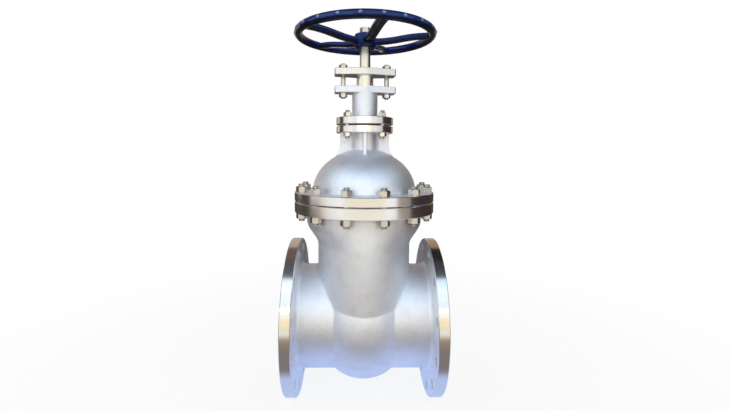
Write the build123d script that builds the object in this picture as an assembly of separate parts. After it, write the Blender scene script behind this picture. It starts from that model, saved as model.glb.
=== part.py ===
from build123d import *
import os
from math import cos, radians, sqrt, tan

# Non-rising stem gate valve for a DN250 pipe, bolted between two flanges. A taper wedge slides
# up out of the flow on two guide rails, lifted by a nut on a stem that turns but doesn't rise.
# Sizes are in millimetres. Z is up along the stem, X is along the flow, the pipe axis is at Z = 0.
# The pieces are modelled about the stem axis and moved so that the inlet face is at X = 0.

# Edges and gaps found on many pieces
edge_chamfer = 1.2
stud_end_chamfer = 1.2
nut_corner_cut = 0.9
running_gap = 0.3
guide_gap = 0.4
close_to_wall = 2e-3

# Pipe ends
face_to_face = 380.0
bore_radius = 122.0
casting_wall = 8.5
end_flange_radius = 197.5
end_flange_rim = 25.0
end_bolt_to_edge = 22.5
end_bolt_hole_radius = 11.0
raised_face_to_holes = 4.0
raised_face_height = 3.0
end_bolt_count = 12
end_neck_fillet = 10.0

# Wedge and seats
seat_taper = 5.0
wedge_half_thickness = 36.0
seat_land = 7.0
seat_ring_thickness = 10.0
seat_ring_stands_out = 2.0
seat_boss_wall = 5.0
wedge_seat_overlap = 5.0
wedge_opens_past_bore = 3.0
wedge_rim_chamfer = 1.5
wedge_hub_radius = 72.0
wedge_bore_clearance = 5.0
guide_rail_half_width = 12.0
guide_rib_thickness = 7.0
guide_rail_reach = 12.0
guide_rail_gap = 1.0
guide_rail_bottom = -45.0
guide_rail_end_gap = 6.0
seat_gap = 0.3

# Casting round the wedge
chamber_gap = 20.0
chamber_half_width = 71.0
chamber_fillet = 6.0
tower_half_x = 117.0
tower_side_gap = 13.0
tower_straight_top = 192.0
tower_foot_fillet = 10.0
collar_gap = 10.0
collar_bottom = 250.0
shoulder_steps = 5

# Joint between body and bonnet
joint_height = 300.3
body_flange_thickness = 26.5
flange_root_fillet = 3.0
bonnet_flange_thickness = 21.5
stud_circle_from_collar = 15.0
flange_edge_from_stud = 16.0
joint_stud_hole_radius = 8.75
joint_stud_count = 12
gasket_thickness = 2.4
gasket_inset = 1.5
gasket_outer_from_stud = 14.5

# Bonnet dome, neck, ribs and top flange
dome_half_x = 130.5
dome_side_gap = 7.0
dome_headroom = 5.5
dome_root_fillet = 5.0
neck_radius = 34.0
neck_foot_height = 49.0
top_flange_over_dome = 57.0
top_flange_radius = 72.0
top_flange_thickness = 16.3
top_bolt_circle = 120.0
top_bolt_hole_radius = 6.75
top_bolt_count = 4
rib_thickness = 7.5
rib_top_reach = 62.5
rib_foot_reach = 76.0
rib_straight = 24.7
rib_foot_sink = 1.3
rib_fillet = 4.0
rib_top_fillet = 3.0
spigot_radius = 42.0
spigot_height = 2.3
spigot_gasket = 2.0

# Stem, its nut and its collar
stem_thread_radius = 15.0
stem_radius = 13.4
nut_flange_height = 13.4
nut_flange_half_x = 30.0
nut_flange_half_y = 31.0
nut_radius = 22.0
nut_height = 38.0
nut_slot_gap = 0.5
lug_half_x = 30.0
lug_half_y = 45.0
lug_height = 30.0
lug_root_height = 36.0
stem_end_in_nut = 2.0
collar_radius_on_stem = 22.0
collar_thickness = 11.7
washer_thickness = 3.0
washer_radius = 24.5
pocket_gap = 0.5
collar_pocket_depth = 11.3

# Stuffing box and gland
box_radius = 32.2
box_flange_thickness = 17.9
box_height = 95.0
box_plate_thickness = 16.3
gland_plate_thickness = 16.5
gland_gap = 27.5
lozenge_half_length = 76.5
lozenge_end_half_width = 19.0
lozenge_fillet = 5.0
plate_edge_rounding = 1.5
box_root_fillet = 3.0
gland_turn = 5.0
gland_stud_reach = 55.0
gland_stud_radius = 6.0
gland_stud_hole_radius = 6.75
gland_stud_over_nut = 3.0
gland_nut_flats = 18.5
gland_nut_height = 10.0
packing_radius = 21.5
packing_floor = 22.7
packing_ring_height = 11.0
packing_ring_count = 5
packing_groove = 1.0
follower_gap = 0.3
follower_head_radius = 24.0
follower_head_height = 6.0
follower_head_seat = 4.0

# Handwheel
wheel_seat_above_gland = 51.2
hub_radius = 27.0
hub_height = 35.5
rim_radius = 166.0
rim_tube_radius = 10.5
rim_above_seat = 32.7
spoke_count = 5
spoke_first_angle = -76.0
spoke_width = 25.0
spoke_thickness = 14.0
spoke_rounding = 6.0
spoke_root_radius = 16.0
spoke_level_until = 86.0
spoke_level_from = 91.0
spoke_root_above_seat = 17.0
spoke_below_rim = 2.0
spoke_fillet = 4.0
hub_edge_rounding = 3.0
square_flats = 18.5
square_gap = 0.15
wheel_stud_radius = 8.0
wheel_washer_radius = 15.0
wheel_washer_thickness = 2.5
wheel_nut_flats = 24.0
wheel_nut_height = 13.0
wheel_stud_over_nut = 1.5

# Sizes that follow from the ones above
neck_outer_radius = bore_radius + casting_wall
end_flange_thickness = raised_face_height + end_flange_rim
end_bolt_circle = 2 * (end_flange_radius - end_bolt_to_edge)
raised_face_radius = end_bolt_circle / 2 - end_bolt_hole_radius - raised_face_to_holes
seat_outer_radius = bore_radius + seat_land
seat_boss_radius = seat_outer_radius + seat_boss_wall
wedge_radius = bore_radius + wedge_seat_overlap
travel = bore_radius + wedge_radius + wedge_opens_past_bore
chamber_inner_radius = wedge_radius + chamber_gap
chamber_outer_radius = chamber_inner_radius + casting_wall
tower_half_y = wedge_radius + tower_side_gap + casting_wall
collar_inner_radius = wedge_radius + collar_gap
collar_outer_radius = collar_inner_radius + casting_wall
stud_circle_radius = collar_outer_radius + stud_circle_from_collar
joint_flange_radius = stud_circle_radius + flange_edge_from_stud
bonnet_base = joint_height + gasket_thickness
dome_base = bonnet_base + bonnet_flange_thickness
dome_half_y = wedge_radius + dome_side_gap + casting_wall
nut_bottom = wedge_radius
nut_top = nut_bottom + nut_height
dome_inner_height = nut_top + travel + dome_headroom - dome_base
dome_height = dome_inner_height + casting_wall
top_face = dome_base + dome_height + top_flange_over_dome
top_flange_under = top_face - top_flange_thickness
rib_foot = dome_base + dome_height * sqrt(1 - (rib_foot_reach / dome_half_x) ** 2) - rib_foot_sink
spigot_top = top_face + spigot_height
box_base = spigot_top + spigot_gasket
box_top = box_base + box_height
gland_plate_bottom = box_top + gland_gap
gland_plate_top = gland_plate_bottom + gland_plate_thickness
pocket_radius = washer_radius + pocket_gap
pocket_bottom = spigot_top - collar_pocket_depth
collar_start = pocket_bottom + washer_thickness + running_gap
collar_end = collar_start + collar_thickness
upper_washer_bottom = collar_end + running_gap
upper_washer_top = upper_washer_bottom + washer_thickness
packing_bottom = box_base + packing_floor
packing_top = packing_bottom + packing_ring_count * packing_ring_height
wheel_seat = gland_plate_top + wheel_seat_above_gland
rim_height = wheel_seat + rim_above_seat
hub_top = wheel_seat + hub_height
wheel_nut_bottom = hub_top + wheel_washer_thickness
stem_top = wheel_nut_bottom + wheel_nut_height + wheel_stud_over_nut


def disc(radius, bottom, top):
    """A round bar along Z between two heights."""
    return Pos(0, 0, bottom) * extrude(Circle(radius), top - bottom)


def ring(outer, inner, bottom, top):
    """A round ring along Z between two heights."""
    return Pos(0, 0, bottom) * extrude(Circle(outer) - Circle(inner), top - bottom)


def block(half_x, half_y, bottom, top):
    """A square-cornered block on the stem axis, between two heights."""
    return Pos(0, 0, bottom) * extrude(Rectangle(2 * half_x, 2 * half_y), top - bottom)


def bar_along_flow(radius, half_length):
    """A round bar along X, centred on the stem axis."""
    return extrude(Plane.YZ * Circle(radius), half_length, both=True)


def corner(outline, across, along):
    """The corner of a sketch that lies at a point."""
    return outline.vertices().sort_by_distance((across, along))[0]


def soften(solid, radius, picked):
    """Round every edge of a solid that a test picks."""
    return fillet([edge for edge in solid.edges() if picked(edge)], radius)


def points_on(edge):
    """Three points along an edge."""
    return [edge.position_at(share) for share in (0.2, 0.5, 0.8)]


def hexagon(flats, bottom, height):
    """A hexagon nut blank along Z, given across its flats, with its corners turned off."""
    nut = Pos(0, 0, bottom) * extrude(RegularPolygon(flats / 2, 6, major_radius=False), height)
    corner_radius = flats / 2 / cos(radians(30))
    turned_off = disc(corner_radius, bottom, bottom + height)
    ends = turned_off.edges().filter_by(GeomType.CIRCLE)
    return nut & chamfer(ends, length=nut_corner_cut, length2=2 * nut_corner_cut)


def on_circle(piece, radius, count):
    """Copies of a piece on a circle round Z, with gaps, not pieces, on the X and Y axes."""
    return [Rot(0, 0, (k + 0.5) * 360 / count) * Pos(radius, 0, 0) * piece for k in range(count)]


def shoulder(half_x, half_y, round_radius):
    """The oval tower wall and the shoulder that turns it into the round collar."""
    rise = (collar_bottom - tower_straight_top) / shoulder_steps
    sections = [Pos(0, 0, tower_straight_top) * Ellipse(half_x, half_y)]
    for k in range(1, shoulder_steps):
        part_way = k / shoulder_steps
        blend = part_way**2 * (3 - 2 * part_way)
        sections.append(
            Pos(0, 0, tower_straight_top + k * rise)
            * Ellipse(
                half_x + (round_radius - half_x) * blend,
                half_y + (round_radius - half_y) * blend,
            )
        )
    sections.append(Pos(0, 0, collar_bottom) * Ellipse(round_radius, round_radius))
    return extrude(Ellipse(half_x, half_y), tower_straight_top) + loft(sections)


def between_seats(half_at_axis, reach):
    """The tapered space between two planes that lean apart by the seat taper, as a prism."""
    low = half_at_axis - reach * tan(radians(seat_taper))
    high = half_at_axis + reach * tan(radians(seat_taper))
    outline = Polyline((-low, -reach), (low, -reach), (high, reach), (-high, reach), close=True)
    return extrude(Plane.XZ * make_face(outline), reach, both=True)


def pipe_and_chamber():
    """The outside of the pipe, its end flanges and the round chamber, turned about the flow."""
    end = face_to_face / 2
    rim = end - raised_face_height
    back = rim - end_flange_rim
    wide = chamber_half_width
    low = neck_outer_radius
    with BuildSketch() as profile:
        with BuildLine():
            Polyline(
                (-wide, low), (-back, low), (-back, end_flange_radius), (-rim, end_flange_radius),
                (-rim, raised_face_radius), (-end, raised_face_radius), (-end, 0), (end, 0),
                (end, raised_face_radius), (rim, raised_face_radius), (rim, end_flange_radius),
                (back, end_flange_radius), (back, low), (wide, low),
            )
            ThreePointArc((wide, low), (0, chamber_outer_radius), (-wide, low))
        make_face()
        for side in (-1, 1):
            fillet(corner(profile, side * back, low), end_neck_fillet)
            fillet(corner(profile, side * wide, low), chamber_fillet)
            chamfer(corner(profile, side * back, end_flange_radius), edge_chamfer)
            chamfer(corner(profile, side * rim, end_flange_radius), edge_chamfer)
    return revolve(profile.sketch, Axis.X)


def chamber_room():
    """The inside of the chamber: the same arc as outside, one wall in."""
    rise = chamber_outer_radius - neck_outer_radius
    arc_radius = (chamber_half_width**2 + rise**2) / (2 * rise)
    centre = chamber_outer_radius - arc_radius
    inner = arc_radius - casting_wall
    reach = sqrt(inner**2 - (bore_radius - centre) ** 2)
    with BuildSketch() as profile:
        with BuildLine():
            Polyline((-reach, bore_radius), (-reach, 0), (reach, 0), (reach, bore_radius))
            ThreePointArc((reach, bore_radius), (0, chamber_inner_radius), (-reach, bore_radius))
        make_face()
    return revolve(profile.sketch, Axis.X)


def guide_rails():
    """Upright rails on the front and back walls that the wedge slides on, each of two thin ribs."""
    inner_face = wedge_radius - guide_rail_reach
    top = joint_height - guide_rail_end_gap
    rail = block(guide_rail_half_width, chamber_inner_radius, guide_rail_bottom, top)
    rail -= block(guide_rail_half_width, inner_face, guide_rail_bottom, top)
    rib_inner_face = guide_rail_half_width - guide_rib_thickness
    return rail - block(rib_inner_face, chamber_inner_radius, guide_rail_bottom, top)


def collar_and_flange():
    """The round collar and the bonnet flange that stands out from it, turned about the stem."""
    under = joint_height - body_flange_thickness
    with BuildSketch(Plane.XZ) as profile:
        with BuildLine():
            Polyline(
                (0, collar_bottom), (collar_outer_radius, collar_bottom),
                (collar_outer_radius, under), (joint_flange_radius, under),
                (joint_flange_radius, joint_height), (0, joint_height), close=True,
            )
        make_face()
        fillet(corner(profile, collar_outer_radius, under), flange_root_fillet)
        chamfer(corner(profile, joint_flange_radius, under), edge_chamfer)
        chamfer(corner(profile, joint_flange_radius, joint_height), edge_chamfer)
    return revolve(profile.sketch, Axis.Z)


def round_tower_foot(edge):
    """Tell whether an edge runs round the foot of the tower's oval wall."""
    return edge.geom_type != GeomType.LINE and all(
        abs((point.X / tower_half_x) ** 2 + (point.Y / tower_half_y) ** 2 - 1) < close_to_wall
        and point.Z < tower_straight_top - tower_foot_fillet / 2
        for point in points_on(edge)
    )


def body_casting():
    """Pipe, chamber, oval tower, collar and bonnet flange in one casting, with its hollow."""
    outside = pipe_and_chamber() + shoulder(tower_half_x, tower_half_y, collar_outer_radius)
    outside = soften(outside + collar_and_flange(), tower_foot_fillet, round_tower_foot)

    inner_x = tower_half_x - casting_wall
    inner_y = tower_half_y - casting_wall
    room = chamber_room() + shoulder(inner_x, inner_y, collar_inner_radius)
    room += disc(collar_inner_radius, collar_bottom, joint_height)

    seat_front = wedge_half_thickness + seat_gap
    seat_back = seat_front + seat_ring_thickness
    boss_front = seat_front + seat_ring_stands_out
    reach = 2 * seat_boss_radius
    bosses = bar_along_flow(seat_boss_radius, tower_half_x) - between_seats(boss_front, reach)
    room -= bosses
    room -= guide_rails()
    pockets = bar_along_flow(seat_outer_radius + running_gap, tower_half_x)
    pockets &= between_seats(seat_back, reach)

    body = outside - room - pockets - bar_along_flow(bore_radius, face_to_face)
    end_hole = bar_along_flow(end_bolt_hole_radius, face_to_face / 2)
    end_hole -= bar_along_flow(2 * end_bolt_hole_radius, face_to_face / 2 - end_flange_thickness)
    for k in range(end_bolt_count):
        turn = (k + 0.5) * 360 / end_bolt_count
        body -= Rot(turn, 0, 0) * Pos(0, end_bolt_circle / 2, 0) * end_hole
    stud_hole = disc(joint_stud_hole_radius, joint_height - 2 * body_flange_thickness, joint_height)
    for hole in on_circle(stud_hole, stud_circle_radius, joint_stud_count):
        body -= hole
    return body


def seat_ring(side):
    """A seat ring pressed into the end of its boss, with its face leaning with the wedge."""
    front = wedge_half_thickness + seat_gap
    reach = 2 * seat_boss_radius
    tube = bar_along_flow(seat_outer_radius, tower_half_x) - bar_along_flow(bore_radius, tower_half_x)
    both = tube & between_seats(front + seat_ring_thickness, reach)
    both -= between_seats(front, reach)
    return [solid for solid in both.solids() if solid.center().X * side > 0][0]


def wedge_gate():
    """A flexible wedge: two tapered discs on a hub, with a slotted lug on top for the nut."""
    reach = 2 * wedge_radius
    wedge = bar_along_flow(wedge_radius, tower_half_x) & between_seats(wedge_half_thickness, reach)
    wedge = chamfer(wedge.edges().filter_by(GeomType.ELLIPSE), wedge_rim_chamfer)
    groove_half = guide_rail_half_width + guide_rail_gap
    wedge -= extrude(Plane.YZ * (Circle(reach) - Circle(wedge_hub_radius)), groove_half, both=True)
    lug_top = nut_bottom + lug_height
    wedge += block(lug_half_x, lug_half_y, lug_root_height, lug_top)
    nut_flange_top = nut_bottom + nut_flange_height + nut_slot_gap
    wedge -= block(lug_half_x, nut_flange_half_y + nut_slot_gap, nut_bottom, nut_flange_top)
    wedge -= block(lug_half_x, nut_radius + nut_slot_gap, nut_bottom, lug_top)
    return wedge - disc(stem_thread_radius + wedge_bore_clearance, -reach, reach)


def stem_nut():
    """The nut that the turning stem lifts: its square flange sits in the wedge's slot."""
    flange_top = nut_bottom + nut_flange_height
    nut = block(nut_flange_half_x, nut_flange_half_y, nut_bottom, flange_top)
    nut += disc(nut_radius, nut_bottom, nut_top)
    return nut - disc(stem_thread_radius + running_gap, nut_bottom, nut_top)


def rib():
    """One of the bonnet's four ribs, from the neck to the edge of the top flange."""
    bend = top_flange_under - rib_straight
    with BuildSketch(Plane.XZ) as outline:
        with BuildLine():
            Polyline((rib_foot_reach, rib_foot), (0, rib_foot), (0, top_flange_under),
                     (rib_top_reach, top_flange_under), (rib_top_reach, bend))
            TangentArc((rib_top_reach, bend), (rib_foot_reach, rib_foot), tangent=(0, -1))
        make_face()
    return extrude(outline.sketch, rib_thickness / 2, both=True)


def up_the_neck(edge):
    """Tell whether an edge is the upright corner between a rib and the neck."""
    low, middle, high = points_on(edge)
    return (
        edge.geom_type == GeomType.LINE
        and abs(low.X - high.X) + abs(low.Y - high.Y) < close_to_wall
        and abs(Vector(middle.X, middle.Y).length - neck_radius) < rib_fillet
        and middle.Z > rib_foot
    )


def on_dome(edge):
    """Tell whether an edge lies on the dome's outside, above its root."""
    return all(
        abs((point.X / dome_half_x) ** 2 + (point.Y / dome_half_y) ** 2
            + ((point.Z - dome_base) / dome_height) ** 2 - 1) < close_to_wall
        and point.Z > dome_base + dome_height / 2
        for point in points_on(edge)
    )


def under_top_flange(edge):
    """Tell whether an edge joins the neck or a rib to the underside of the top flange."""
    return all(
        abs(point.Z - top_flange_under) < close_to_wall
        and Vector(point.X, point.Y).length < rib_top_reach
        for point in points_on(edge)
    )


def bonnet():
    """Round flange, oval dome, ribbed neck and top flange in one casting."""
    above = disc(2 * joint_flange_radius, dome_base, top_face)
    dome = Pos(0, 0, dome_base) * scale(Sphere(1), by=(dome_half_x, dome_half_y, dome_height))
    flange = disc(joint_flange_radius, bonnet_base, dome_base)
    bonnet = (dome & above) + chamfer(flange.edges(), edge_chamfer)
    bonnet = soften(
        bonnet, dome_root_fillet,
        lambda edge: abs(edge.center().Z - dome_base) < close_to_wall
        and Vector(edge.position_at(0).X, edge.position_at(0).Y).length < stud_circle_radius,
    )
    bonnet += disc(neck_radius, dome_base + neck_foot_height, top_face)
    for k in range(4):
        bonnet += Rot(0, 0, 90 * k) * rib()
    top_flange = disc(top_flange_radius, top_flange_under, top_face)
    bonnet += chamfer(top_flange.edges(), edge_chamfer)
    bonnet = soften(bonnet, rib_fillet, up_the_neck)
    bonnet = soften(bonnet, rib_fillet, on_dome)
    bonnet = soften(bonnet, rib_top_fillet, under_top_flange)
    bonnet += disc(spigot_radius, top_face, spigot_top)

    inner_x = dome_half_x - casting_wall
    inner_y = dome_half_y - casting_wall
    hollow = Pos(0, 0, dome_base) * scale(Sphere(1), by=(inner_x, inner_y, dome_inner_height))
    bonnet -= hollow & above
    bonnet -= Pos(0, 0, bonnet_base) * extrude(Ellipse(inner_x, inner_y), dome_base - bonnet_base)
    bonnet -= disc(stem_thread_radius + guide_gap, dome_base, spigot_top)
    bonnet -= disc(pocket_radius, pocket_bottom, spigot_top)
    stud_hole = disc(joint_stud_hole_radius, bonnet_base, dome_base + dome_root_fillet)
    for hole in on_circle(stud_hole, stud_circle_radius, joint_stud_count):
        bonnet -= hole
    top_hole = disc(top_bolt_hole_radius, top_flange_under, top_face)
    for hole in on_circle(top_hole, top_bolt_circle / 2, top_bolt_count):
        bonnet -= hole
    return bonnet


def lozenge(bottom, thickness, middle_radius):
    """A two-bolt gland outline: a round middle with straight flanks to two blunt ends."""
    with BuildSketch() as outline:
        Circle(middle_radius)
        with Locations((lozenge_half_length / 2, 0), (-lozenge_half_length / 2, 0)):
            Rectangle(lozenge_half_length, 2 * lozenge_end_half_width)
        make_hull()
        for x in (-lozenge_half_length, lozenge_half_length):
            for y in (-lozenge_end_half_width, lozenge_end_half_width):
                fillet(corner(outline, x, y), lozenge_fillet)
    plate = Pos(0, 0, bottom) * extrude(outline.sketch, thickness)
    level = plate.faces().filter_by(Axis.Z).edges()
    plate = fillet(level, plate_edge_rounding)
    for side in (-1, 1):
        hole = disc(gland_stud_hole_radius, bottom, bottom + thickness)
        plate -= Pos(side * gland_stud_reach, 0, 0) * hole
    return plate


def flanged_tube():
    """The stuffing box's tube and round flange, turned about the stem."""
    flange_top = box_base + box_flange_thickness
    with BuildSketch(Plane.XZ) as profile:
        with BuildLine():
            Polyline(
                (0, box_base), (top_flange_radius, box_base), (top_flange_radius, flange_top),
                (box_radius, flange_top), (box_radius, box_top), (0, box_top), close=True,
            )
        make_face()
        fillet(corner(profile, box_radius, flange_top), box_root_fillet)
        chamfer(corner(profile, top_flange_radius, flange_top), edge_chamfer)
        chamfer(corner(profile, top_flange_radius, box_base), edge_chamfer)
    return revolve(profile.sketch, Axis.Z)


def stuffing_box():
    """Flanged tube that holds the packing round the stem, with a two-bolt plate at its top."""
    plate_bottom = box_top - box_plate_thickness
    box = flanged_tube() + lozenge(plate_bottom, box_plate_thickness, box_radius)
    top_hole = disc(top_bolt_hole_radius, box_base, box_base + box_flange_thickness)
    for hole in on_circle(top_hole, top_bolt_circle / 2, top_bolt_count):
        box -= hole
    box -= disc(pocket_radius, box_base, upper_washer_top)
    box -= disc(stem_radius + guide_gap, box_base, box_top)
    return box - disc(packing_radius, packing_bottom, box_top)


def packing_rings():
    """Square packing rings pressed together round the stem, with a groove at each joint."""
    inner = stem_radius + running_gap
    outer = packing_radius - running_gap
    rings = ring(outer, inner, packing_bottom, packing_top)
    for k in range(1, packing_ring_count):
        joint = packing_bottom + k * packing_ring_height
        rings -= ring(packing_radius, outer - packing_groove, joint - packing_groove / 2,
                      joint + packing_groove / 2)
    return rings


def gland_follower():
    """The sleeve that presses on the packing, with its head let into the gland plate."""
    seat = gland_plate_bottom + follower_head_seat
    sleeve = disc(packing_radius - running_gap, packing_top + follower_gap, seat)
    sleeve += disc(follower_head_radius, seat - follower_head_height, seat)
    return sleeve - disc(stem_radius + guide_gap, packing_top, seat)


def gland_plate():
    """The plate that two studs pull down on the follower."""
    plate = lozenge(gland_plate_bottom, gland_plate_thickness, box_radius)
    seat = gland_plate_bottom + follower_head_seat
    plate -= disc(follower_head_radius + running_gap, gland_plate_bottom, seat)
    return plate - disc(stem_radius + guide_gap, gland_plate_bottom, gland_plate_top)


def gland_stud():
    """A stud through both gland plates, long enough for a nut at each end."""
    bottom = box_top - box_plate_thickness - gland_nut_height - gland_stud_over_nut
    top = gland_plate_top + gland_nut_height + gland_stud_over_nut
    stud = disc(gland_stud_radius, bottom, top)
    return chamfer(stud.edges().filter_by(GeomType.CIRCLE), stud_end_chamfer)


def gland_nut(bottom):
    """A nut on a gland stud."""
    nut = hexagon(gland_nut_flats, bottom, gland_nut_height)
    return nut - disc(gland_stud_radius, bottom, bottom + gland_nut_height)


def on_gland(piece, side):
    """A piece moved to one of the two gland studs."""
    return Rot(0, 0, gland_turn) * Pos(side * gland_stud_reach, 0, 0) * piece


def stem():
    """The screw, its trapped collar, the polished shank and the square for the handwheel."""
    bottom = nut_bottom + stem_end_in_nut
    shaft = disc(stem_thread_radius, bottom, collar_start)
    shaft = chamfer(shaft.edges().group_by(Axis.Z)[0], edge_chamfer)
    shaft += disc(collar_radius_on_stem, collar_start, collar_end)
    shaft += disc(stem_radius, collar_end, wheel_seat)
    square_half = square_flats / 2
    shaft += block(square_half, square_half, wheel_seat, hub_top - edge_chamfer)
    screw = disc(wheel_stud_radius, wheel_seat, stem_top)
    return shaft + chamfer(screw.edges().group_by(Axis.Z)[-1], stud_end_chamfer)


def spoke():
    """One cast spoke that leaves the hub level, climbs and meets the rim level."""
    root = wheel_seat + spoke_root_above_seat
    tip = rim_height - spoke_below_rim
    start = (spoke_root_radius, 0, root)
    path = Bezier(start, (spoke_level_until, 0, root), (spoke_level_from, 0, tip),
                  (rim_radius, 0, tip))
    section = Plane(start, x_dir=(0, 1, 0), z_dir=(1, 0, 0)) * RectangleRounded(
        spoke_width, spoke_thickness, spoke_rounding)
    return sweep(section, path)


def at_spoke_root(edge):
    """Tell whether an edge runs round a spoke where it leaves the hub."""
    return edge.geom_type not in (GeomType.LINE, GeomType.CIRCLE) and all(
        abs(Vector(point.X, point.Y).length - hub_radius) < close_to_wall
        for point in points_on(edge)
    )


def handwheel():
    """Hub, five spokes and a round rim in one casting."""
    seam_turn = spoke_first_angle + 180 / spoke_count
    wheel = Rot(0, 0, seam_turn) * Pos(0, 0, rim_height) * Torus(rim_radius, rim_tube_radius)
    for k in range(spoke_count):
        wheel += Rot(0, 0, spoke_first_angle + k * 360 / spoke_count) * spoke()
    hub = disc(hub_radius, wheel_seat, hub_top)
    wheel += fillet(hub.edges(), hub_edge_rounding)
    wheel = soften(wheel, spoke_fillet, at_spoke_root)
    opening_half = square_flats / 2 + square_gap
    return wheel - block(opening_half, opening_half, wheel_seat, hub_top)


def handwheel_nut():
    """The nut that holds the handwheel on its square."""
    nut = hexagon(wheel_nut_flats, wheel_nut_bottom, wheel_nut_height)
    return nut - disc(wheel_stud_radius, wheel_nut_bottom, stem_top)


turned = Rot(0, 0, gland_turn)
lower_nut_bottom = box_top - box_plate_thickness - gland_nut_height
pieces = {
    "body_casting": body_casting(),
    "seat_ring_inlet": seat_ring(-1),
    "seat_ring_outlet": seat_ring(1),
    "wedge_gate": wedge_gate(),
    "stem_nut": stem_nut(),
    "bonnet": bonnet(),
    "bonnet_gasket": ring(stud_circle_radius - gasket_outer_from_stud,
                          collar_inner_radius + gasket_inset, joint_height, bonnet_base),
    "stuffing_box": turned * stuffing_box(),
    "stuffing_box_gasket": ring(spigot_radius, pocket_radius + gasket_inset, spigot_top, box_base),
    "thrust_washer_lower": ring(washer_radius, stem_thread_radius + guide_gap,
                                pocket_bottom, pocket_bottom + washer_thickness),
    "thrust_washer_upper": ring(washer_radius, stem_thread_radius + guide_gap,
                                upper_washer_bottom, upper_washer_top),
    "stem": stem(),
    "packing_rings": packing_rings(),
    "gland_follower": gland_follower(),
    "gland_plate": turned * gland_plate(),
    "handwheel": handwheel(),
    "handwheel_washer": ring(wheel_washer_radius, wheel_stud_radius + running_gap,
                             hub_top, wheel_nut_bottom),
    "handwheel_nut": handwheel_nut(),
}
for name, side in (("left", -1), ("right", 1)):
    pieces[f"gland_stud_{name}"] = on_gland(gland_stud(), side)
    pieces[f"gland_nut_{name}"] = on_gland(gland_nut(gland_plate_top), side)
    pieces[f"gland_lower_nut_{name}"] = on_gland(gland_nut(lower_nut_bottom), side)

os.makedirs("parts", exist_ok=True)
from_inlet_face = Pos(face_to_face / 2, 0, 0)
for name, piece in pieces.items():
    export_step(from_inlet_face * piece, f"parts/{name}.step")
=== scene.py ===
from math import atan2, cos, degrees, exp, pi, radians, sin, sqrt, tan

import bpy
from mathutils import Matrix, Vector


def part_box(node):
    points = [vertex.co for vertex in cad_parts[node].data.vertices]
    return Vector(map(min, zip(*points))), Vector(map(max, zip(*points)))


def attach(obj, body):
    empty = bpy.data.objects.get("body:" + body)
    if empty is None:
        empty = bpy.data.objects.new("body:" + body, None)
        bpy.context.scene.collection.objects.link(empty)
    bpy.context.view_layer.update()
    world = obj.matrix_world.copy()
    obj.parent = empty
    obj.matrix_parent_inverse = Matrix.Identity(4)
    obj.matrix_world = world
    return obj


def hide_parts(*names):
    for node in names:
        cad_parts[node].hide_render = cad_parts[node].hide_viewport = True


# Dressing for a flanged gate valve: studs, nuts and threads, the painted handwheel, the metal
# finishes, and a white studio. Sizes are in metres, in the valve's own frame.

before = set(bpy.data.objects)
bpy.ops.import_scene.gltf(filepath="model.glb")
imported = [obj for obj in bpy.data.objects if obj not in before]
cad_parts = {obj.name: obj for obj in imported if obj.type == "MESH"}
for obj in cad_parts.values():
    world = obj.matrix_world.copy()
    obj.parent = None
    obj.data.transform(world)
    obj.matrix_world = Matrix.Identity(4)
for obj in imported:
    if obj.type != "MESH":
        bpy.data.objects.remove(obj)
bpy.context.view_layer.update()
bpy.ops.object.select_all(action="DESELECT")

MM = 0.001

# Places read from the frame
body_low, body_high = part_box("body_casting")
stem_x = (body_low.x + body_high.x) / 2
gasket_low, gasket_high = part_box("bonnet_gasket")
small_gasket_low, small_gasket_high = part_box("stuffing_box_gasket")
wheel_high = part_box("handwheel")[1]
floor_z = body_low.z

# Bonnet joint
joint_stud_count = 12
joint_stud_circle = 160.5 * MM
body_flange = 26.5 * MM
bonnet_flange = 21.5 * MM
joint_rim_radius = 176.5 * MM
joint_under = gasket_low.z - body_flange
joint_over = gasket_high.z + bonnet_flange
joint_stud_radius = 8.0 * MM
joint_nut_flats = 24.0 * MM
joint_nut_height = 14.8 * MM
joint_stud_pitch = 2.0 * MM
joint_stud_stands_out = 6.0 * MM

# Stuffing box joint
box_stud_count = 4
box_stud_circle = 60.0 * MM
top_flange = 16.3 * MM
spigot = 2.3 * MM
box_flange = 17.9 * MM
small_rim_radius = 72.0 * MM
box_flange_under = small_gasket_low.z - spigot - top_flange
box_flange_over = small_gasket_high.z + box_flange
box_stud_radius = 6.0 * MM
box_nut_flats = 18.0 * MM
box_nut_height = 10.0 * MM
box_stud_pitch = 1.75 * MM
box_stud_stands_out = 5.5 * MM

# Gland studs
gland_thread_length = 17.0 * MM

# Nuts and threads
nut_face_share = 0.475
nut_bore_clearance = 1.02
nut_corner_slope = radians(30)
thread_sides = 20
thread_rows_per_pitch = 6
thread_depth_share = 0.61
turned_off_share = 1.1
plain_rows = 2

# Handwheel
wheel_voxel = 1.5 * MM
wheel_smoothing_passes = 6
rim_radius = 166.0 * MM
rim_tube_radius = 10.5 * MM
rim_skin_reach = 1.15 * rim_tube_radius
finger_bump_count = 22
finger_bump_height = 1.4 * MM
finger_bump_length = 5.5 * MM
finger_bump_first = -94.5
finger_bump_lean = 8.0
finger_bump_spread = 26.0
# The painted highlight along the rim's outer ridge: its angle round the tube, its spread and its
# share.
highlight_ridge_angle = -4.0
highlight_ridge_spread = 14.0
highlight_ridge_share = 0.5

# Turned and ground faces
turned_edge = 0.3 * MM
rim_chamfer = 1.5 * MM
end_flange_from = 161.6 * MM
end_rim_from = 196.1 * MM
end_face_from = 186.7 * MM
end_face_groove = 0.8 * MM
seat_groove = 0.6 * MM
lines_per_metre = 2600.0
line_stretch = 0.004

# Photograph's camera, measured from the stem axis and the pipe axis
camera_from_stem = Vector((-20.3, -1082.6, 417.6)) * MM
camera_turn = 0.0207
camera_tilt = -0.0736
camera_roll = 0.0075
focal_pixels = 421.84
picture_width = 730
picture_height = 411
optical_centre_row = 185.75
sensor_width_mm = 36.0

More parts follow.
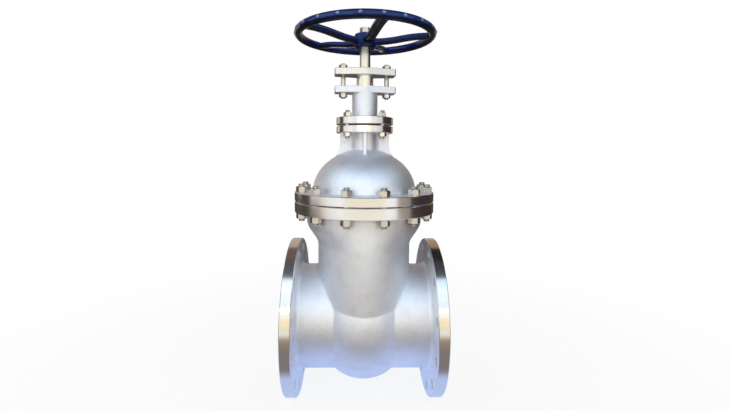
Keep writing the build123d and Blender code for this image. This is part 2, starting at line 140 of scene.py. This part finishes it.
# Studio
middle = Vector((stem_x, 0, 0.25))
plain_light = (0.60, 0.62, 0.66, 1)
floor_by_eye = (0.92, 0.92, 0.92, 1)
floor_by_light = (0.16, 0.13, 0.12, 1)
floor_glow = 0.86


class Value:
    """A number, vector or colour from a node, with ordinary arithmetic."""

    def __init__(self, finish, socket):
        self.finish = finish
        self.socket = socket

    def __add__(self, other):
        return self.finish.maths("ADD", self, other)

    def __sub__(self, other):
        return self.finish.maths("SUBTRACT", self, other)

    def __mul__(self, other):
        return self.finish.maths("MULTIPLY", self, other)

    def __rsub__(self, other):
        return self.finish.maths("SUBTRACT", other, self)

    def __neg__(self):
        return self.finish.maths("MULTIPLY", self, -1.0)

    def __abs__(self):
        return self.finish.maths("ABSOLUTE", self)

    __radd__ = __add__
    __rmul__ = __mul__

    def step(self, low, high):
        """0 below the low value and 1 above the high one, with a smooth rise between."""
        return self.finish.value(
            "ShaderNodeMapRange", {"interpolation_type": "SMOOTHSTEP"},
            {"Value": self, "From Min": low, "From Max": high}, "Result",
        )

    def sine(self):
        return self.finish.maths("SINE", self)


class Finish:
    """A material being made: its nodes, and the shader that they feed."""

    def __init__(self, name, **settings):
        self.material = bpy.data.materials.new(name)
        self.material.use_nodes = True
        self.tree = self.material.node_tree
        self.shader = self.tree.nodes["Principled BSDF"]
        self.end = self.tree.nodes["Material Output"]
        self.place = self.value("ShaderNodeTexCoord", {}, {}, "Object")
        parts = self.node("ShaderNodeSeparateXYZ", {}, {"Vector": self.place})
        self.x, self.y, self.z = (Value(self, parts.outputs[k]) for k in "XYZ")
        for socket, value in settings.items():
            self.feed(self.shader.inputs[socket.replace("_", " ")], value)

    def feed(self, socket, value):
        if isinstance(value, Value):
            self.tree.links.new(value.socket, socket)
        else:
            socket.default_value = value

    def node(self, kind, settings, inputs):
        node = self.tree.nodes.new(kind)
        for name, value in settings.items():
            setattr(node, name, value)
        for name, value in inputs.items():
            self.feed(node.inputs[name], value)
        return node

    def value(self, kind, settings, inputs, output):
        return Value(self, self.node(kind, settings, inputs).outputs[output])

    def maths(self, operation, *numbers):
        inputs = dict(enumerate(numbers))
        return self.value("ShaderNodeMath", {"operation": operation}, inputs, 0)

    def noise(self, scale, detail=2.0, roughness=0.5, stretch=(1.0, 1.0, 1.0)):
        """Soft noise from 0 to 1, with a scale in lumps per metre."""
        place = self.value(
            "ShaderNodeMapping", {}, {"Vector": self.place, "Scale": stretch}, "Vector"
        )
        return self.value(
            "ShaderNodeTexNoise", {},
            {"Vector": place, "Scale": scale, "Detail": detail, "Roughness": roughness}, "Fac",
        )

    def length(self, a, b):
        """The length of a flat arrow, from its two parts."""
        return self.maths("SQRT", a * a + b * b)

    def blend(self, share, first, second):
        """Show one shader node or another, by a share from 0 to 1."""
        blend = self.node("ShaderNodeMixShader", {}, {"Fac": share})
        self.tree.links.new(first.outputs[0], blend.inputs[1])
        self.tree.links.new(second.outputs[0], blend.inputs[2])
        self.tree.links.new(blend.outputs[0], self.end.inputs["Surface"])

    def mix(self, share, first, second):
        """A colour between two, by a share from 0 to 1."""
        node = self.node("ShaderNodeMix", {"data_type": "RGBA"}, {"Factor": share})
        self.feed(node.inputs[6], first)
        self.feed(node.inputs[7], second)
        return Value(self, node.outputs[2])

    def lines(self, axis):
        """Fine turning or milling lines, square to one axis."""
        stretch = tuple(1.0 if name == axis else line_stretch for name in "xyz")
        return self.noise(lines_per_metre, detail=2.0, stretch=stretch)

    def grooves(self, reach, spacing):
        """Even rings cut by a lathe, from 0 to 1."""
        return 0.5 + 0.5 * (reach * (2 * pi / spacing)).sine()

    def own(self, name):
        """A number that the piece's mesh carries at each of its points."""
        return self.value("ShaderNodeAttribute", {"attribute_name": name}, {}, "Fac")

    def glow(self, colour):
        """A shader node that shines with one colour or a pattern."""
        return self.node("ShaderNodeEmission", {}, {"Color": colour, "Strength": 1.0})

    def surface(self, colour, roughness, height):
        """Feed the shader: its colour, its roughness, and a bump of a height in millimetres."""
        bump = {"Height": height, "Distance": MM, "Strength": 1.0}
        self.feed(self.shader.inputs["Base Color"], colour)
        self.feed(self.shader.inputs["Roughness"], roughness)
        self.feed(self.shader.inputs["Normal"], self.value("ShaderNodeBump", {}, bump, "Normal"))
        return self.material


def put_on(material, *objects):
    """Give objects one material."""
    for piece in objects:
        piece.data.materials.clear()
        piece.data.materials.append(material)


def cast_surface(finish, machined, ring_lines):
    """Shot-blasted stainless casting, with turned faces where the mask says so."""
    patches = finish.noise(9.0, detail=3.0)
    grain = finish.noise(1300.0, detail=2.0, roughness=0.6)
    pits = finish.noise(380.0, detail=3.0, roughness=0.65)
    swell = finish.noise(38.0, detail=2.0)
    ripples = finish.noise(110.0, detail=2.0)
    stains = finish.noise(28.0, detail=5.0, roughness=0.65).step(0.46, 0.72)
    blasted = finish.mix(patches, (0.79, 0.81, 0.85, 1), (0.89, 0.90, 0.94, 1))
    blasted = finish.mix(0.20 * stains, blasted, (0.52, 0.49, 0.46, 1))
    turned = finish.mix(ring_lines, (0.73, 0.71, 0.69, 1), (0.84, 0.82, 0.80, 1))
    colour = finish.mix(machined, blasted, turned)
    rough_cast = 0.50 + 0.10 * pits
    rough_turned = 0.13 + 0.08 * ring_lines
    roughness = rough_cast + (rough_turned - rough_cast) * machined
    cast_height = 0.045 * grain + 0.08 * pits + 0.10 * ripples + 0.80 * swell
    height = cast_height * (1.0 - machined) + 0.006 * ring_lines * machined
    return finish.surface(colour, roughness, height)


def body_finish():
    """Cast body: turned flange rims, raised faces and joint flange, blasted elsewhere."""
    finish = Finish("cast_body_steel", Metallic=1.0)
    from_middle = abs(finish.x - stem_x)
    from_pipe = finish.length(finish.y, finish.z)
    from_stem = finish.length(finish.x - stem_x, finish.y)
    flange_zone = from_middle.step(end_flange_from, end_flange_from + turned_edge)
    rim = from_pipe.step(end_rim_from, end_rim_from + turned_edge) * flange_zone
    end_face = from_middle.step(end_face_from, end_face_from + 0.2 * MM)
    above = finish.z.step(joint_under - MM, joint_under)
    joint_rim = rim_mask(from_stem, joint_rim_radius) * above
    machined = finish.maths("MAXIMUM", finish.maths("MAXIMUM", rim, end_face), joint_rim)
    lines_along, lines_up = finish.lines("x"), finish.lines("z")
    grooves = finish.grooves(from_pipe, end_face_groove)
    lines = lines_along + (lines_up - lines_along) * joint_rim
    lines = lines + (grooves - lines) * end_face
    return cast_surface(finish, machined, lines)


def rim_mask(reach, radius):
    """1 on the turned rim of a flange, and 0 inside its chamfers."""
    return reach.step(radius - rim_chamfer, radius - rim_chamfer + turned_edge)


def bonnet_finish():
    """Cast bonnet: turned rims on its two flanges and turned flange faces."""
    finish = Finish("cast_bonnet_steel", Metallic=1.0)
    from_stem = finish.length(finish.x - stem_x, finish.y)
    joint_rim = rim_mask(from_stem, joint_rim_radius)
    top = finish.z.step(box_flange_under - 0.5 * MM, box_flange_under + 0.1 * MM)
    top_rim = rim_mask(from_stem, small_rim_radius) * top
    machined = finish.maths("MAXIMUM", joint_rim, top_rim)
    return cast_surface(finish, machined, finish.lines("z"))


def box_finish():
    """Cast stuffing box: a turned rim on its round flange."""
    finish = Finish("cast_box_steel", Metallic=1.0)
    from_stem = finish.length(finish.x - stem_x, finish.y)
    above = finish.z.step(box_flange_over + 0.2 * MM, box_flange_over + 0.6 * MM)
    rim = rim_mask(from_stem, small_rim_radius) * (1.0 - above)
    return cast_surface(finish, rim, finish.lines("z"))


def plate_finish():
    """Milled steel plate, satin all over."""
    finish = Finish("gland_plate_steel", Metallic=1.0)
    cloud = finish.noise(60.0, detail=3.0)
    grain = finish.noise(1400.0, detail=2.0)
    colour = finish.mix(cloud, (0.72, 0.71, 0.70, 1), (0.80, 0.79, 0.77, 1))
    return finish.surface(colour, 0.33 + 0.10 * cloud, 0.03 * grain + 0.02 * cloud)


def polished_finish():
    """Polished stem steel with faint turning lines."""
    finish = Finish("polished_stem_steel", Metallic=1.0)
    lines = finish.noise(2200.0, detail=3.0, stretch=(0.01, 0.01, 1.0))
    cloud = finish.noise(30.0)
    colour = finish.mix(cloud, (0.76, 0.72, 0.66, 1), (0.82, 0.79, 0.74, 1))
    return finish.surface(colour, 0.14 + 0.10 * lines, 0.004 * lines)


def fastener_finish():
    """Bright stainless nuts and studs, slightly warm, with handling marks."""
    finish = Finish("bright_fastener_steel", Metallic=1.0)
    cloud = finish.noise(140.0, detail=3.0)
    marks = finish.noise(700.0, detail=4.0, roughness=0.7)
    colour = finish.mix(cloud, (0.56, 0.53, 0.49, 1), (0.70, 0.67, 0.62, 1))
    return finish.surface(colour, 0.20 + 0.16 * marks, 0.03 * marks)


def seat_finish():
    """Ground seat faces and wedge."""
    finish = Finish("ground_seat_steel", Metallic=1.0)
    from_pipe = finish.length(finish.y, finish.z)
    rings = finish.grooves(from_pipe, seat_groove)
    cloud = finish.noise(25.0, detail=3.0)
    colour = finish.mix(cloud, (0.55, 0.54, 0.53, 1), (0.66, 0.65, 0.63, 1))
    return finish.surface(colour, 0.24 + 0.10 * cloud, 0.004 * rings)


def bronze_finish():
    """Machined bronze of the stem nut and thrust washers."""
    finish = Finish("machined_bronze", Metallic=1.0)
    cloud = finish.noise(80.0, detail=3.0)
    colour = finish.mix(cloud, (0.58, 0.40, 0.19, 1), (0.70, 0.52, 0.28, 1))
    return finish.surface(colour, 0.28 + 0.12 * cloud, 0.02 * cloud)


def gasket_finish():
    """Dark graphite sheet."""
    finish = Finish("graphite_sheet", Metallic=0.0)
    fibre = finish.noise(900.0, detail=4.0, roughness=0.7)
    colour = finish.mix(fibre, (0.012, 0.012, 0.013, 1), (0.035, 0.034, 0.034, 1))
    return finish.surface(colour, 0.62 + 0.15 * fibre, 0.05 * fibre)


def enamel_finish():
    """Thick dark blue enamel over a rough casting, with painted shade below, a painted highlight
    along the rim's outer ridge and painted glints on the finger bumps.
    """
    finish = Finish(
        "blue_enamel", Metallic=0.0, Specular_IOR_Level=0.4, Specular_Tint=(0.25, 0.45, 1.0, 1),
        Coat_Weight=0.2, Coat_Roughness=0.03,
    )
    # Painted shade: the faces that look down are near black, and those that look up are blue.
    top = finish.own("facing_up").step(0.10, 0.325)
    cloud = finish.noise(22.0, detail=3.0)
    lumps = finish.noise(150.0, detail=3.0)
    dabs = finish.noise(60.0, detail=2.0)
    blue = finish.mix(cloud, (0.002, 0.008, 0.080, 1), (0.004, 0.015, 0.14, 1))
    colour = finish.mix(top, (0.012, 0.010, 0.012, 1), blue)
    # Painted highlight: a pale blue band along the rim's outer ridge and on the finger bumps,
    # broken into streaks, with whiter painted glints on the bumps' crests.
    painted_highlight = finish.own("painted_highlight")
    streaks = finish.noise(45.0, detail=3.0, roughness=0.6).step(0.38, 0.62)
    highlight_band = (0.3 + 0.7 * streaks) * painted_highlight.step(0.1, 0.5)
    colour = finish.mix(highlight_band, colour, (0.035, 0.10, 0.31, 1))
    glint_breakup = finish.noise(190.0, detail=3.0, roughness=0.7)
    painted_glints = (painted_highlight + 1.3 * glint_breakup).step(1.12, 1.62) * painted_highlight.step(0.5, 0.62)
    colour = finish.mix(painted_glints, colour, (0.30, 0.42, 0.68, 1))
    return finish.surface(colour, 0.10 + 0.10 * lumps, 0.08 * lumps + 0.25 * dabs)


def finish_nodes():
    """Give every node of the frame its finish."""
    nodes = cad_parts
    cast_body = body_finish()
    put_on(cast_body, nodes["body_casting"])
    put_on(bonnet_finish(), nodes["bonnet"])
    put_on(box_finish(), nodes["stuffing_box"])
    put_on(plate_finish(), nodes["gland_plate"])
    put_on(polished_finish(), nodes["stem"], nodes["gland_follower"])
    put_on(seat_finish(), nodes["wedge_gate"], nodes["seat_ring_inlet"], nodes["seat_ring_outlet"])
    bronze = bronze_finish()
    put_on(bronze, nodes["stem_nut"], nodes["thrust_washer_lower"], nodes["thrust_washer_upper"])
    put_on(gasket_finish(), nodes["bonnet_gasket"], nodes["stuffing_box_gasket"],
           nodes["packing_rings"])
    fastener = fastener_finish()
    fixings = [name for name in nodes if "_nut_" in name or "gland_stud" in name]
    put_on(fastener, *(nodes[name] for name in fixings))
    put_on(fastener, nodes["handwheel_washer"], nodes["handwheel_nut"])
    enamel = enamel_finish()
    put_on(enamel, nodes["handwheel"])
    return fastener, enamel


def apply(piece, kind, **settings):
    """Add one modifier to a piece and apply it."""
    bpy.context.view_layer.objects.active = piece
    modifier = piece.modifiers.new(kind.lower(), kind)
    for name, value in settings.items():
        setattr(modifier, name, value)
    bpy.ops.object.modifier_apply(modifier=modifier.name)


def only(piece):
    """Select one piece and nothing else."""
    bpy.ops.object.select_all(action="DESELECT")
    piece.select_set(True)
    bpy.context.view_layer.objects.active = piece


def smooth(piece, angle):
    """Shade a piece smoothly, with its edges over an angle in degrees kept sharp."""
    only(piece)
    bpy.ops.object.shade_smooth_by_angle(angle=radians(angle))
    bpy.ops.object.select_all(action="DESELECT")


def copy_of(piece, name, x, y, z, turn):
    """A copy with its own mesh, turned about its upright middle and moved to a place."""
    twin = bpy.data.objects.new(name, piece.data.copy())
    bpy.context.scene.collection.objects.link(twin)
    twin.data.transform(Matrix.Translation((x, y, z)) @ Matrix.Rotation(turn, 4, "Z"))
    return twin


def hex_nut(flats, height, bore):
    """A nut with both corners turned off at 30 degrees and a bored hole."""
    corner = flats / sqrt(3)
    face = nut_face_share * flats
    lathe_radius = 1.001 * corner
    drop = (corner - face) * tan(nut_corner_slope)
    bpy.ops.object.select_all(action="DESELECT")
    bpy.ops.mesh.primitive_cylinder_add(vertices=6, radius=corner, depth=height)
    nut = bpy.context.active_object
    bpy.ops.mesh.primitive_cylinder_add(vertices=48, radius=lathe_radius, depth=height)
    turning = bpy.context.active_object
    bpy.ops.object.mode_set(mode="EDIT")
    bpy.ops.mesh.select_mode(type="FACE")
    bpy.ops.mesh.select_all(action="DESELECT")
    bpy.ops.object.mode_set(mode="OBJECT")
    for polygon in turning.data.polygons:
        polygon.select = abs(polygon.normal.z) > 0.9
    bpy.ops.object.mode_set(mode="EDIT")
    bpy.ops.mesh.inset(thickness=lathe_radius - face, use_even_offset=True)
    bpy.ops.object.mode_set(mode="OBJECT")
    for vertex in turning.data.vertices:
        if Vector((vertex.co.x, vertex.co.y)).length > corner * 0.999:
            vertex.co.z -= drop if vertex.co.z > 0 else -drop
    bpy.ops.mesh.primitive_cylinder_add(vertices=36, radius=bore, depth=height * 1.5)
    drill = bpy.context.active_object
    apply(nut, "BOOLEAN", operation="INTERSECT", object=turning, solver="EXACT")
    apply(nut, "BOOLEAN", operation="DIFFERENCE", object=drill, solver="EXACT")
    for tool in (turning, drill):
        bpy.data.objects.remove(tool)
    nut.data.validate()
    smooth(nut, 25.0)
    return nut


def thread_rows(bottom, top, low_thread, high_thread, pitch):
    """Heights of the rows of a rod: close together on its threads, far apart between."""
    row = pitch / thread_rows_per_pitch
    low_rows = round(low_thread / row)
    high_rows = round(high_thread / row)
    rows = [bottom + k * row for k in range(low_rows + 1)]
    plain_from, plain_to = rows[-1], top - high_rows * row
    for k in range(1, plain_rows):
        rows.append(plain_from + (plain_to - plain_from) * k / plain_rows)
    rows += [top - k * row for k in range(high_rows, -1, -1)]
    return rows


def threaded_rod(radius, pitch, bottom, top, low_thread, high_thread):
    """A rod with a real helical thread at each end, a plain middle and turned-off ends."""
    rows = thread_rows(bottom, top, low_thread, high_thread, pitch)
    depth = thread_depth_share * pitch
    bpy.ops.object.select_all(action="DESELECT")
    bpy.ops.mesh.primitive_grid_add(x_subdivisions=thread_sides, y_subdivisions=len(rows) - 1)
    rod = bpy.context.active_object
    across = thread_sides + 1
    for index, vertex in enumerate(rod.data.vertices):
        z = rows[index // across]
        side = (index % across) / thread_sides
        wave = (z / pitch - side) % 1.0
        groove = depth * abs(2 * wave - 1)
        threaded = z < bottom + low_thread or z > top - high_thread
        from_end = min(z - bottom, top - z)
        turned_off = max(0.0, depth * turned_off_share - from_end)
        reach = radius - max(groove if threaded else 0.0, turned_off)
        vertex.co = (reach * cos(2 * pi * side), reach * sin(2 * pi * side), z)
    bpy.ops.object.mode_set(mode="EDIT")
    bpy.ops.mesh.select_all(action="SELECT")
    bpy.ops.mesh.remove_doubles(threshold=1e-6)
    bpy.ops.mesh.select_all(action="DESELECT")
    bpy.ops.mesh.select_mode(type="EDGE")
    bpy.ops.mesh.select_non_manifold()
    bpy.ops.mesh.edge_face_add()
    bpy.ops.mesh.select_all(action="SELECT")
    bpy.ops.mesh.normals_make_consistent(inside=False)
    bpy.ops.object.mode_set(mode="OBJECT")
    smooth(rod, 50.0)
    return rod


def joint_fixings(label, count, circle, under, over, radius, pitch, flats, height, stands_out,
                  material):
    """Studs through a flange pair, with a nut at each end, evenly spaced between the axes.

    Each nut and stud has its own turn, as tightening leaves them.
    """
    nut = hex_nut(flats, height, radius * nut_bore_clearance)
    end = height + stands_out
    rod = threaded_rod(radius, pitch, under - end, over + end, end, end)
    for k in range(count):
        angle = 2 * pi * (k + 0.5) / count
        x, y = stem_x + circle * cos(angle), circle * sin(angle)
        places = (
            (nut, f"{label}_nut_over_{k + 1:02d}", over + height / 2, 1.3 * k + 0.2),
            (nut, f"{label}_nut_under_{k + 1:02d}", under - height / 2, 2.1 * k + 0.5),
            (rod, f"{label}_stud_{k + 1:02d}", 0.0, 0.9 * k),
        )
        for model, name, z, turn in places:
            piece = copy_of(model, name, x, y, z, turn)
            put_on(material, piece)
            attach(piece, "root")
    for model in (nut, rod):
        bpy.data.objects.remove(model)


def gland_studs(material):
    """Threaded studs in place of the gland's plain ones."""
    for side in ("left", "right"):
        name = f"gland_stud_{side}"
        low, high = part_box(name)
        rod = threaded_rod((high.x - low.x) / 2, box_stud_pitch, low.z, high.z,
                           gland_thread_length, gland_thread_length)
        rod.data.transform(Matrix.Translation(((low.x + high.x) / 2, (low.y + high.y) / 2, 0)))
        rod.name = f"threaded_{name}"
        put_on(material, rod)
        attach(rod, "root")
        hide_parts(name)


def raise_finger_bumps(wheel):
    """Push the rim's skin out into a ring of low bumps on its outer side.

    It writes an attribute that is 1 on the bumps and less along the rim's outer ridge, where the
    enamel paints its highlight, with glints on the bumps.
    """
    rim_z = wheel_high.z - rim_tube_radius
    spacing = 2 * pi / finger_bump_count
    painted_highlight = wheel.data.attributes.new("painted_highlight", "FLOAT", "POINT")
    for vertex in wheel.data.vertices:
        from_stem = Vector((vertex.co.x - stem_x, vertex.co.y))
        out, rise = from_stem.length - rim_radius, vertex.co.z - rim_z
        if sqrt(out * out + rise * rise) > rim_skin_reach:
            continue
        turn = atan2(from_stem.y, from_stem.x) - radians(finger_bump_first)
        off_centre = (turn / spacing - round(turn / spacing)) * spacing * rim_radius
        around = degrees(atan2(rise, out))
        lean = (around - finger_bump_lean) / finger_bump_spread
        bump = exp(-((off_centre / finger_bump_length) ** 2) - lean**2)
        # The painted highlight also runs along the rim's outer ridge, away from the bumps.
        ridge = exp(-(((around - highlight_ridge_angle) / highlight_ridge_spread) ** 2))
        painted_highlight.data[vertex.index].value = max(bump, highlight_ridge_share * ridge)
        away = Vector((from_stem.x, from_stem.y, 0)).normalized() * out + Vector((0, 0, rise))
        vertex.co += away.normalized() * finger_bump_height * bump


def mark_undersides(wheel):
    """Write the attribute "facing_up": 1 where the skin faces up, and 0 where it faces down, which
    the enamel uses for its painted shade.
    """
    wheel.data.update()
    facing_up = wheel.data.attributes.new("facing_up", "FLOAT", "POINT")
    for vertex in wheel.data.vertices:
        facing_up.data[vertex.index].value = 0.5 + 0.5 * vertex.normal.z


def painted_handwheel(material):
    """The cast wheel with its blended corners and the low finger bumps round its rim."""
    wheel = bpy.data.objects.new("painted_handwheel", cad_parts["handwheel"].data.copy())
    bpy.context.scene.collection.objects.link(wheel)
    only(wheel)
    bpy.ops.object.mode_set(mode="EDIT")
    bpy.ops.mesh.select_all(action="SELECT")
    bpy.ops.mesh.remove_doubles(threshold=1e-6)
    bpy.ops.object.mode_set(mode="OBJECT")
    apply(wheel, "REMESH", mode="VOXEL", voxel_size=wheel_voxel)
    apply(wheel, "SMOOTH", factor=0.5, iterations=wheel_smoothing_passes)
    raise_finger_bumps(wheel)
    mark_undersides(wheel)
    put_on(material, wheel)
    smooth(wheel, 60.0)
    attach(wheel, "handwheel_and_stem")
    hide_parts("handwheel")


def place_round(azimuth, elevation, distance):
    """A point round the valve, with azimuth 0 towards the photograph's camera, and 90 right."""
    a, e = radians(azimuth), radians(elevation)
    return middle + distance * Vector((sin(a) * cos(e), -cos(a) * cos(e), sin(e)))


def aim(thing, target):
    """Turn a lamp, card or camera so that its own -Z looks at a point."""
    thing.rotation_euler = (target - thing.location).to_track_quat("-Z", "Y").to_euler()


def softbox(name, azimuth, elevation, distance, width, height, brightness, colour):
    """A large soft lamp, given by how bright its face looks, which mirrors don't show."""
    lamp = bpy.data.lights.new(name, "AREA")
    lamp.shape = "RECTANGLE"
    lamp.size = width
    lamp.size_y = height
    lamp.energy = brightness * pi * width * height
    lamp.color = colour
    holder = bpy.data.objects.new(name, lamp)
    bpy.context.scene.collection.objects.link(holder)
    holder.location = place_round(azimuth, elevation, distance)
    aim(holder, middle)
    holder.visible_camera = False
    holder.visible_glossy = False


def card(name, place, size, edge, colour, other=None):
    """A soft-edged card round the valve that only its reflections show.

    Its place is an azimuth, an elevation and a distance, and its edge is the share that fades.
    Its colour runs from one side to the other, and is even where no other colour is given.
    """
    bpy.ops.object.select_all(action="DESELECT")
    bpy.ops.mesh.primitive_plane_add(size=2.0)
    sheet = bpy.context.active_object
    sheet.name = name
    sheet.scale = (size[0] / 2, size[1] / 2, 1)
    sheet.location = place_round(*place)
    aim(sheet, middle)
    finish = Finish(f"{name}_colour")
    across = 1.0 - abs(finish.x).step(1.0 - edge, 1.0)
    along = 1.0 - abs(finish.y).step(1.0 - edge, 1.0)
    hue = finish.mix(finish.x.step(-1.0, 1.0), (*colour, 1), (*(other or colour), 1))
    clear = finish.node("ShaderNodeBsdfTransparent", {}, {})
    finish.blend(across * along, clear, finish.glow(hue))
    only_in_reflections(sheet, finish)


def only_in_reflections(sheet, finish):
    """Give a sheet its glow and hide it from everything but mirror-like rays."""
    put_on(finish.material, sheet)
    for ray in ("camera", "diffuse", "shadow", "transmission", "volume_scatter"):
        setattr(sheet, f"visible_{ray}", False)


def studio_floor():
    """The pale floor: white far off, with the valve's soft shadow close by."""
    bpy.ops.object.select_all(action="DESELECT")
    bpy.ops.mesh.primitive_plane_add(size=24.0, location=(stem_x, 0, floor_z))
    floor = bpy.context.active_object
    floor.name = "studio_floor"
    finish = Finish("pale_floor", Roughness=0.9, Specular_IOR_Level=0.1)
    rays = finish.node("ShaderNodeLightPath", {}, {})
    seen = Value(finish, rays.outputs["Is Camera Ray"])
    for name in ("Is Glossy Ray", "Is Transmission Ray"):
        seen = finish.maths("MAXIMUM", seen, Value(finish, rays.outputs[name]))
    pale = finish.mix(seen, floor_by_light, floor_by_eye)
    finish.feed(finish.shader.inputs["Base Color"], pale)
    far = finish.length(finish.x, finish.y).step(0.5, 1.6)
    white = finish.glow((1, 1, 1, 1))
    finish.blend(seen * (floor_glow + (1.0 - floor_glow) * far), finish.shader, white)
    put_on(finish.material, floor)


def floor_cloth():
    """Bands of colour on the floor that the metal mirrors.

    They are pale blue under the valve, dark beside and behind it, brown in front of it, and
    then cream and white.
    """
    bpy.ops.object.select_all(action="DESELECT")
    bpy.ops.mesh.primitive_plane_add(size=10.0, location=(stem_x, 0, floor_z + 0.4 * MM))
    cloth = bpy.context.active_object
    cloth.name = "floor_cloth"
    finish = Finish("tinted_cloth")
    front = -finish.y
    beside = abs(finish.x).step(0.38, 0.80)
    under = finish.mix(beside, (0.55, 0.68, 1.05, 1), (0.15, 0.12, 0.11, 1))
    colour = finish.mix(front.step(-0.60, -0.34), (0.08, 0.065, 0.06, 1), under)
    for near, far, hue in (
        (0.20, 0.28, (0.25, 0.22, 0.22, 1)),
        (0.45, 0.80, (0.36, 0.27, 0.19, 1)),
        (0.90, 1.70, (0.93, 0.91, 0.85, 1)),
        (1.80, 2.80, (1.18, 1.19, 1.18, 1)),
    ):
        colour = finish.mix(front.step(near, far), colour, hue)
    finish.feed(finish.end.inputs["Surface"], Value(finish, finish.glow(colour).outputs[0]))
    only_in_reflections(cloth, finish)


def white_world():
    """White to the camera, to mirrors and through glass, and plain light for the rest."""
    world = bpy.data.worlds.new("white_studio")
    bpy.context.scene.world = world
    world.use_nodes = True
    tree = world.node_tree
    rays = tree.nodes.new("ShaderNodeLightPath")
    plain = tree.nodes["Background"]
    plain.inputs["Color"].default_value = plain_light
    white = tree.nodes.new("ShaderNodeBackground")
    white.inputs["Color"].default_value = (1, 1, 1, 1)
    joined = rays.outputs["Is Camera Ray"]
    for name in ("Is Glossy Ray", "Is Transmission Ray"):
        larger = tree.nodes.new("ShaderNodeMath")
        larger.operation = "MAXIMUM"
        tree.links.new(joined, larger.inputs[0])
        tree.links.new(rays.outputs[name], larger.inputs[1])
        joined = larger.outputs[0]
    blend = tree.nodes.new("ShaderNodeMixShader")
    tree.links.new(joined, blend.inputs[0])
    tree.links.new(plain.outputs[0], blend.inputs[1])
    tree.links.new(white.outputs[0], blend.inputs[2])
    tree.links.new(blend.outputs[0], tree.nodes["World Output"].inputs["Surface"])


def studio():
    """Soft lamps in front, and cards for the bands of colour that the metal mirrors."""
    white_world()
    studio_floor()
    floor_cloth()
    softbox("left_softbox", -52, 46, 2.8, 2.5, 1.9, 1.1, (0.92, 0.97, 1.0))
    softbox("right_softbox", 40, 46, 2.8, 2.5, 1.9, 1.0, (1.0, 0.97, 0.92))
    card("sky_left", (-52, 47, 2.9), (3.6, 2.5), 0.4, (1.14, 1.52, 1.84))
    card("sky_middle", (-4, 48, 2.8), (3.6, 2.4), 0.4, (1.12, 1.27, 1.48))
    card("sky_right", (40, 46, 2.9), (2.6, 2.5), 0.4, (0.85, 1.18, 1.58))
    card("bright_strip", (-8, 50, 2.5), (2.4, 0.45), 0.6, (1.47, 1.72, 1.96))
    card("bright_door", (-4, 15.5, 1.35), (1.5, 0.05), 0.6, (6.8, 7.1, 7.4))
    card("pale_front", (0, 15, 3.2), (5.0, 1.0), 0.5, (1.21, 1.17, 1.03), (1.24, 1.19, 0.94))
    card("cream_front", (0, 3, 3.15), (4.8, 0.7), 0.5, (1.2, 1.01, 0.69), (1.2, 1.0, 0.56))
    card("pale_low", (0, -6, 3.25), (4.8, 0.6), 0.4, (0.99, 0.93, 0.75), (1.0, 0.94, 0.79))
    card("dusk_right", (64, -3, 3.0), (1.7, 1.1), 0.4, (0.36, 0.31, 0.26))
    card("pale_left", (-60, 14, 3.05), (1.8, 1.5), 0.5, (1.13, 1.15, 1.09))
    card("pale_right", (61, 19, 3.05), (1.6, 1.3), 0.5, (0.74, 0.69, 0.62))
    card("dark_ceiling", (0, 88, 2.75), (5.0, 2.6), 0.3, (0.14, 0.14, 0.16), (0.015,) * 3)
    card("dark_left", (-107, 5, 2.6), (1.4, 4.2), 0.2, (0.083, 0.06, 0.047))
    card("brown_left", (-152, 28, 2.9), (3.0, 2.6), 0.2, (0.56, 0.44, 0.37), (0.45, 0.36, 0.27))
    card("high_left", (-138, 60, 2.7), (3.2, 1.4), 0.3, (0.17, 0.11, 0.094))
    card("dark_right", (106, 5, 2.6), (3.6, 4.2), 0.2, (0.048, 0.033, 0.03))
    card("brown_right", (160, 28, 3.0), (2.4, 2.6), 0.2, (0.26, 0.17, 0.11), (0.48, 0.33, 0.22))
    card("high_right", (138, 60, 2.7), (3.2, 1.4), 0.3, (0.015,) * 3)
    card("dark_back", (180, -6, 3.3), (6.5, 1.3), 0.3, (0.05, 0.04, 0.035))


def camera():
    """The photograph's camera."""
    lens = bpy.data.cameras.new("photo_camera")
    lens.sensor_width = sensor_width_mm
    lens.lens = focal_pixels / picture_width * sensor_width_mm
    lens.shift_y = (optical_centre_row - picture_height / 2) / picture_width
    lens.clip_start = 0.01
    lens.clip_end = 60.0
    holder = bpy.data.objects.new("photo_camera", lens)
    bpy.context.scene.collection.objects.link(holder)
    ahead = Vector((sin(camera_turn), cos(camera_turn), sin(camera_tilt) / cos(camera_tilt)))
    upright = ahead.to_track_quat("-Z", "Y").to_matrix().to_4x4()
    rolled = upright @ Matrix.Rotation(camera_roll, 4, "Z")
    start = camera_from_stem + Vector((stem_x, 0, 0))
    holder.matrix_world = Matrix.Translation(start) @ rolled
    bpy.context.scene.camera = holder


fastener, enamel = finish_nodes()
joint_fixings("bonnet", joint_stud_count, joint_stud_circle, joint_under, joint_over,
              joint_stud_radius, joint_stud_pitch, joint_nut_flats, joint_nut_height,
              joint_stud_stands_out, fastener)
joint_fixings("box", box_stud_count, box_stud_circle, box_flange_under, box_flange_over,
              box_stud_radius, box_stud_pitch, box_nut_flats, box_nut_height,
              box_stud_stands_out, fastener)
gland_studs(fastener)
painted_handwheel(enamel)
camera()
studio()
bpy.context.scene.view_settings.view_transform = "Standard"
